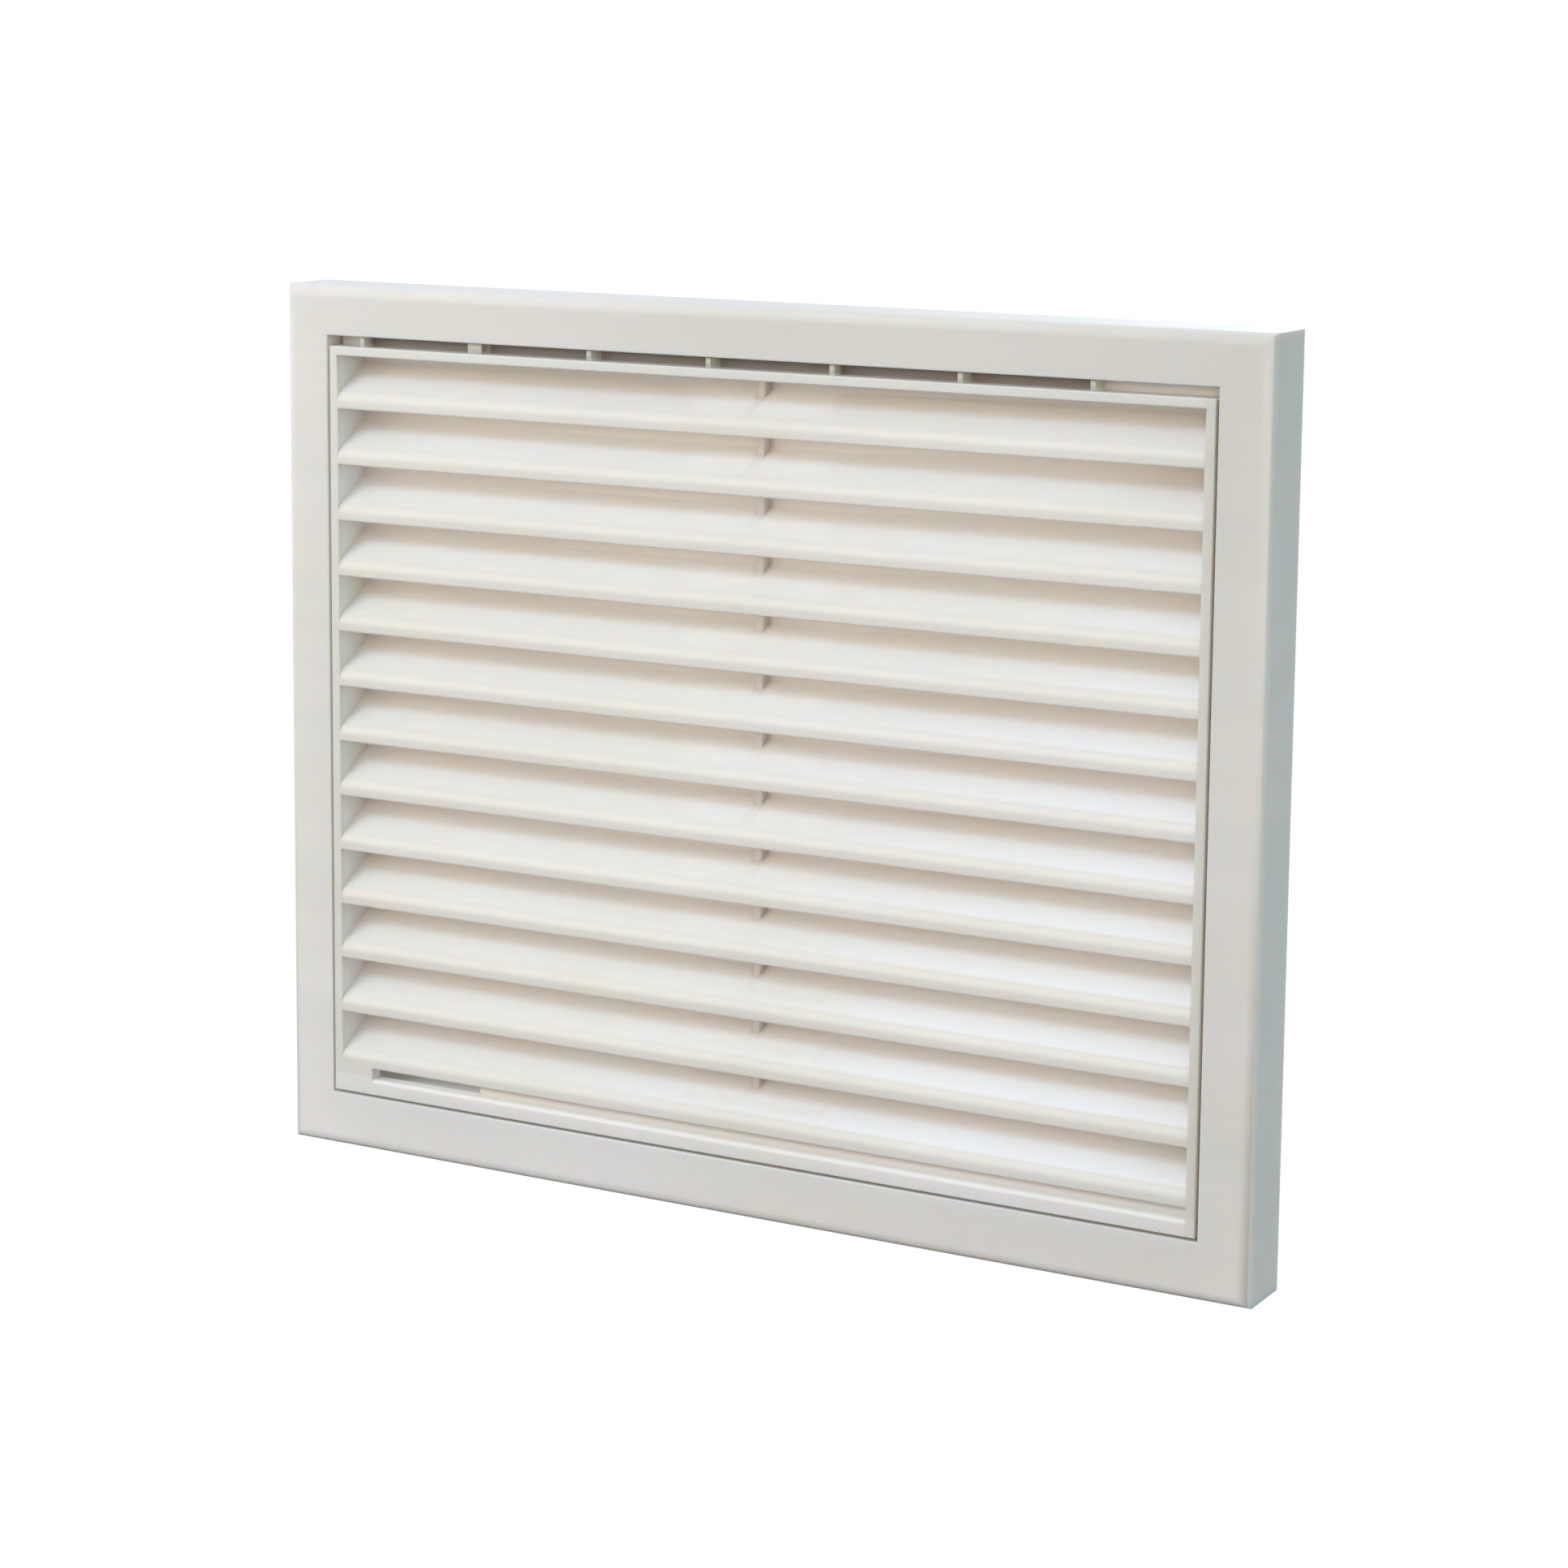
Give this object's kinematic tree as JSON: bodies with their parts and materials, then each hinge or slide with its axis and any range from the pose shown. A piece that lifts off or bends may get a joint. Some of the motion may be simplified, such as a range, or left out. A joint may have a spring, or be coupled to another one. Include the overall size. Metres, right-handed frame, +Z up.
{
  "type": "ventilation grille",
  "caption": "Rectangular wall ventilation grille: a hollow bevelled frame with a snap-in insert of fixed, downward-sloping louvre blades and a set-back centre rib.",
  "frame": {"origin": "centre of the wall face, midway between the fixing holes", "axes": "+X to the right seen from the room, +Z up, +Y into the wall; the front faces -Y"},
  "size_m": [0.3, 0.02, 0.25],
  "materials": {
    "frame_plastic": "fine satin moulding, off-white",
    "insert_plastic": "fine satin moulding, off-white, slightly glossier than the frame"
  },
  "bodies": {
    "root": {"frame": "frame_plastic", "louvre_insert": "insert_plastic"}
  },
  "joints": []
}
